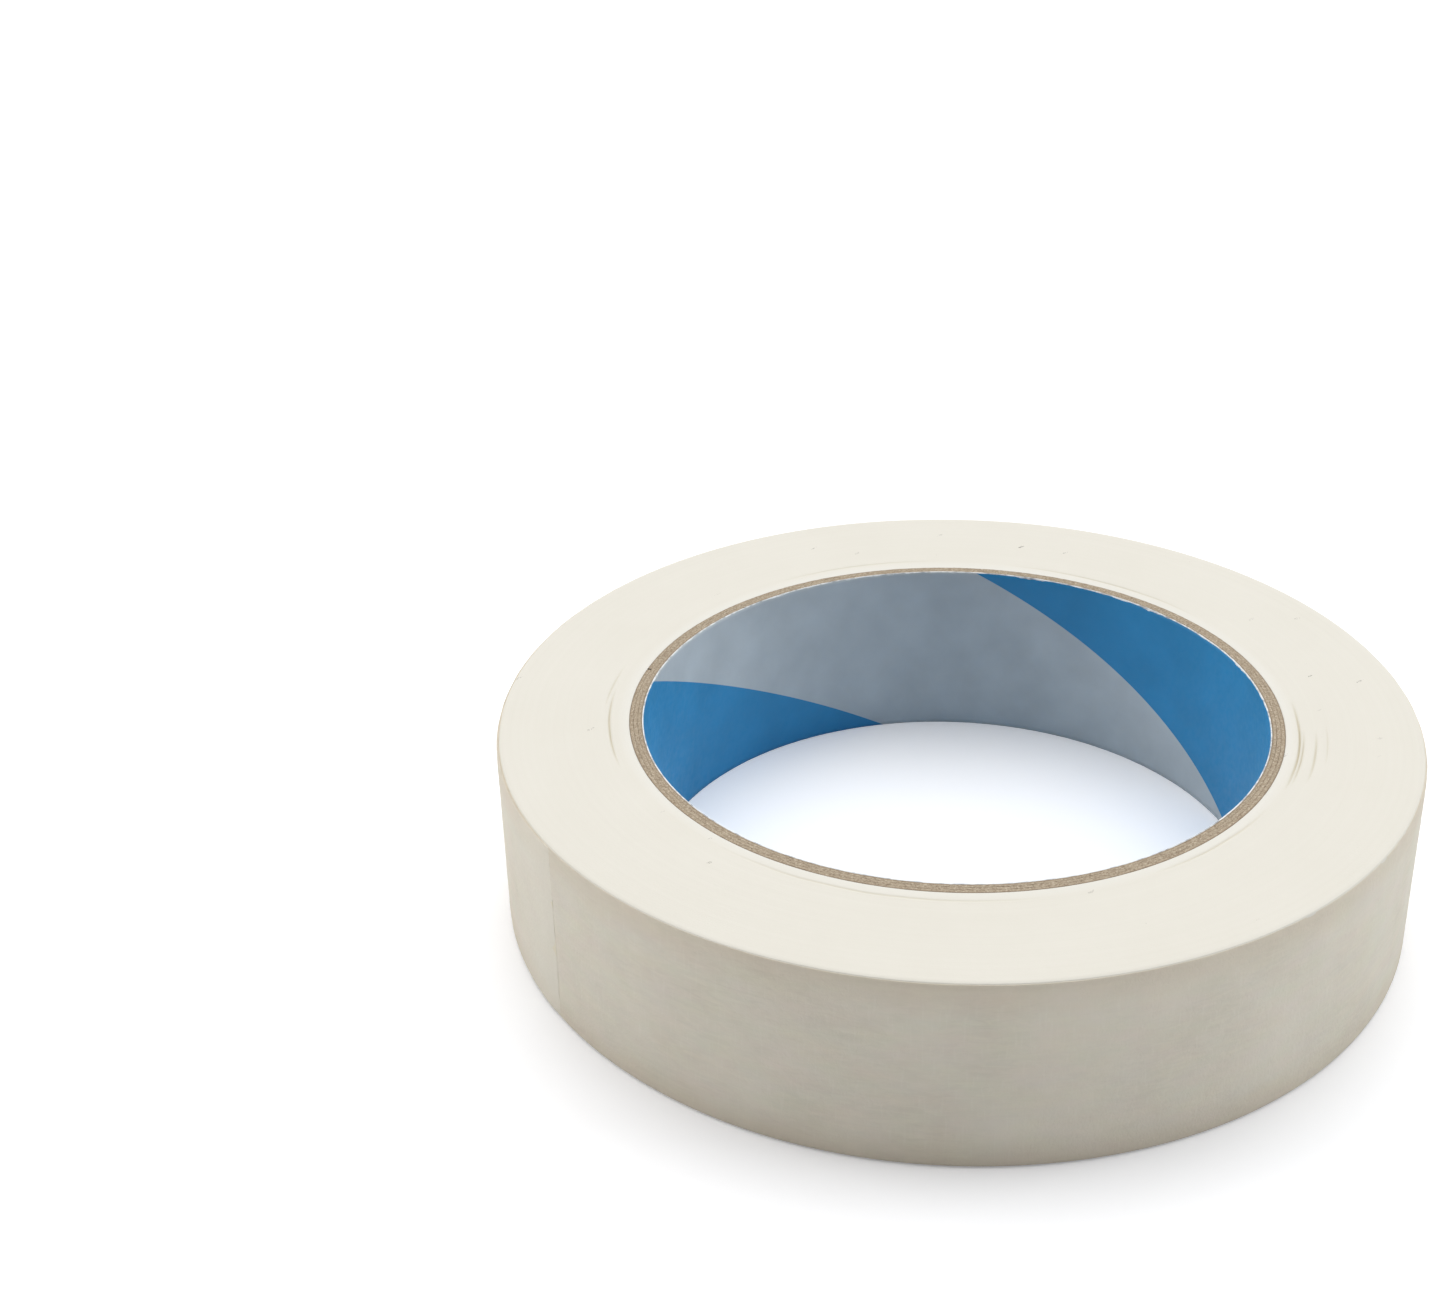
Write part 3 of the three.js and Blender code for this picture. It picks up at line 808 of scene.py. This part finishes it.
def tape_stretch(name, turns_in, body=None):
    """A stretch of tape at a row of places, given as turns in from the free end: the outline carried
    along the spiral, with the crepe raised on its outer side, its upper edge as low as the worn corner
    and wandering by a hair, and the last rubbed_length before the free end rubbed down thin."""
    turns_in = turns_in[:, None]
    height, depth, outward = tape_outline()
    along = turns_in * 2 * math.pi * tape_outer_radius
    crepe = crepe_height(along, height) * (0.2 + 0.8 * outward)
    corner = corner_fall(tape_radius(turns_in))
    wander = (lattice_noise(along / MM / 23, 0.5, 31) - 0.5) * 0.07 * MM
    wander = wander + (lattice_noise(along / MM / 1.3, 0.5, 32) ** 2 - 0.4) * 0.035 * MM
    share = height / roll_height
    place = corner + wander * share + share * (roll_height - 2 * corner)
    rubbed = np.clip(1 - along / rubbed_length, 0, 1) ** 2 * (0.020 + 0.085 * outward) * MM
    radius = tape_radius(turns_in) - depth - rubbed + crepe
    outlines = on_cylinder(radius, tape_azimuth(turns_in), place)
    uv = np.stack(np.broadcast_arrays(along, height), -1)
    adhesive = np.broadcast_to(1 - outward, outlines.shape[:2])
    return skin(name, outlines, "flat", crepe_paper, body,
                uv=uv, marks={"adhesive": adhesive})


hinge_points = [joint["pos_m"] for joint in frame["joints"]]
hinge_azimuths = [math.degrees(math.atan2(y, x)) % 360 for x, y, _ in hinge_points]
hinge_turns = [(free_end_azimuth - azimuth) / 360 for azimuth in hinge_azimuths]
first_bend_turn = hinge_turns[0] + 2.0 * MM / (2 * math.pi * tape_outer_radius)
overlap_end = 1 + last_separate_turn - 1.3 / 360
outer_stations = stations(overlap_end, first_bend_turn, outer_turn_steps)
outer_turn = tape_stretch("tape_outer_turn_crepe", outer_stations, "roll")
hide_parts("tape_outer_turn")

# ---- Free end of the tape ----
# The last 60 degrees of the outer turn, cut straight across, which a finger lifts to start the tape.
# Each stretch reaches from the middle of one hinged piece to the middle of the next, over the
# hinge between them.

hinged_bodies = ["roll"] + [joint["child"] for joint in frame["joints"]]
piece_ends = hinge_turns + [0.0]
middles = [(piece_ends[k] + piece_ends[k + 1]) / 2 for k in range(len(hinge_turns))]


steps_per_turn = 900
for k in range(len(hinge_turns)):
    start_turn = first_bend_turn if k == 0 else middles[k - 1]
    steps = int(steps_per_turn * (start_turn - middles[k])) + 2
    stretch = tape_stretch(f"tape_free_end_{k + 1}", stations(start_turn, middles[k], steps))
    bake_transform(stretch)
    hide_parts(f"tape_end_{k + 1}")
last_steps = int(steps_per_turn * middles[-1]) + 2
near_cut = np.array([0.0022, 0.0016, 0.0011, 0.0007, 0.0004, 0.0002, 0.00008, 0.0])
close_from = 0.0028             # turns from the cut, where the stations start to close up
cut_stations = np.concatenate([stations(middles[-1], close_from, last_steps)[:-2], near_cut])
tape_stretch("tape_cut_end", cut_stations, hinged_bodies[-1])

# ---- Floor, light and camera ----
# A white floor, a broad soft light from overhead and a little behind, and a weaker one on each side,
# the right one a little cooler. The camera stands in front and above, and sees floor and surround white.

floor_reach = 4
floor_lift = 0.20               # how much lighter the camera sees the floor than its light makes it
side_panel = 0.7                # side of each soft light
surround_light = 0.23
surround_seen = 1.1
floor_mesh = bpy.data.meshes.new("floor")
floor_corners = [(x * floor_reach, y * floor_reach, 0) for x, y in ((-1, -1), (1, -1), (1, 1), (-1, 1))]
floor_mesh.from_pydata(floor_corners, [], [(0, 1, 2, 3)])
floor_material, floor_tree, floor_shader = new_material(
    "pale_floor", roughness=0.9, base_color=(0.9, 0.9, 0.91, 1))
floor_seen = add_node(floor_tree, "ShaderNodeLightPath").outputs["Is Camera Ray"]
lift = add_node(floor_tree, "ShaderNodeMath", {0: floor_seen, 1: floor_lift}, operation="MULTIPLY")
floor_tree.links.new(lift.outputs[0], floor_shader.inputs["Emission Strength"])
floor_shader.inputs["Emission Color"].default_value = (0.98, 0.98, 1.0, 1)
floor_mesh.materials.append(floor_material)
floor = bpy.data.objects.new("floor", floor_mesh)
bpy.context.scene.collection.objects.link(floor)


def soft_light(name, place, power, colour):
    """A square soft light at place, facing the roll."""
    light = bpy.data.lights.new(name, "AREA")
    light.shape = "SQUARE"
    light.size = side_panel
    light.energy = power
    light.color = colour
    lamp = bpy.data.objects.new(name, light)
    lamp.location = place
    lamp.rotation_euler = (-Vector(place)).to_track_quat("-Z", "Y").to_euler()
    bpy.context.scene.collection.objects.link(lamp)


overhead = bpy.data.lights.new("overhead", "SUN")
overhead.energy = 2.38
overhead.angle = math.radians(64)
overhead_lamp = bpy.data.objects.new("overhead", overhead)
overhead_lamp.rotation_euler = (math.radians(-20), 0, 0)
bpy.context.scene.collection.objects.link(overhead_lamp)
soft_light("left_side", (-1.0, 0.10, 0.40), 4.0, (1.0, 1.0, 1.0))
soft_light("right_side", (1.0, 0.15, 0.45), 4.25, (0.95, 1.0, 1.05))

world = bpy.data.worlds.new("studio")
world.use_nodes = True
surround = world.node_tree.nodes["Background"]
surround.inputs["Color"].default_value = (0.97, 0.98, 1.0, 1)
seen = add_node(world.node_tree, "ShaderNodeLightPath").outputs["Is Camera Ray"]
brightness = add_node(world.node_tree, "ShaderNodeMapRange",
                      {"Value": seen, "To Min": surround_light, "To Max": surround_seen})
world.node_tree.links.new(brightness.outputs[0], surround.inputs["Strength"])
bpy.context.scene.world = world
bpy.context.scene.view_settings.view_transform = "Standard"

camera_place = Vector((0.0, -0.2318, 0.1559))
camera_aim = Vector((-0.0292, 0.0073, 0.0278))
camera_roll = math.radians(-1.73)
camera_data = bpy.data.cameras.new("camera")
camera_data.lens = 53.67
camera_data.sensor_width = 36
camera_data.clip_start = 0.01
camera = bpy.data.objects.new("camera", camera_data)
facing = (camera_aim - camera_place).to_track_quat("-Z", "Y")
camera.location = camera_place
camera.rotation_euler = (facing @ Quaternion((0, 0, 1), camera_roll)).to_euler()
bpy.context.scene.collection.objects.link(camera)
bpy.context.scene.camera = camera
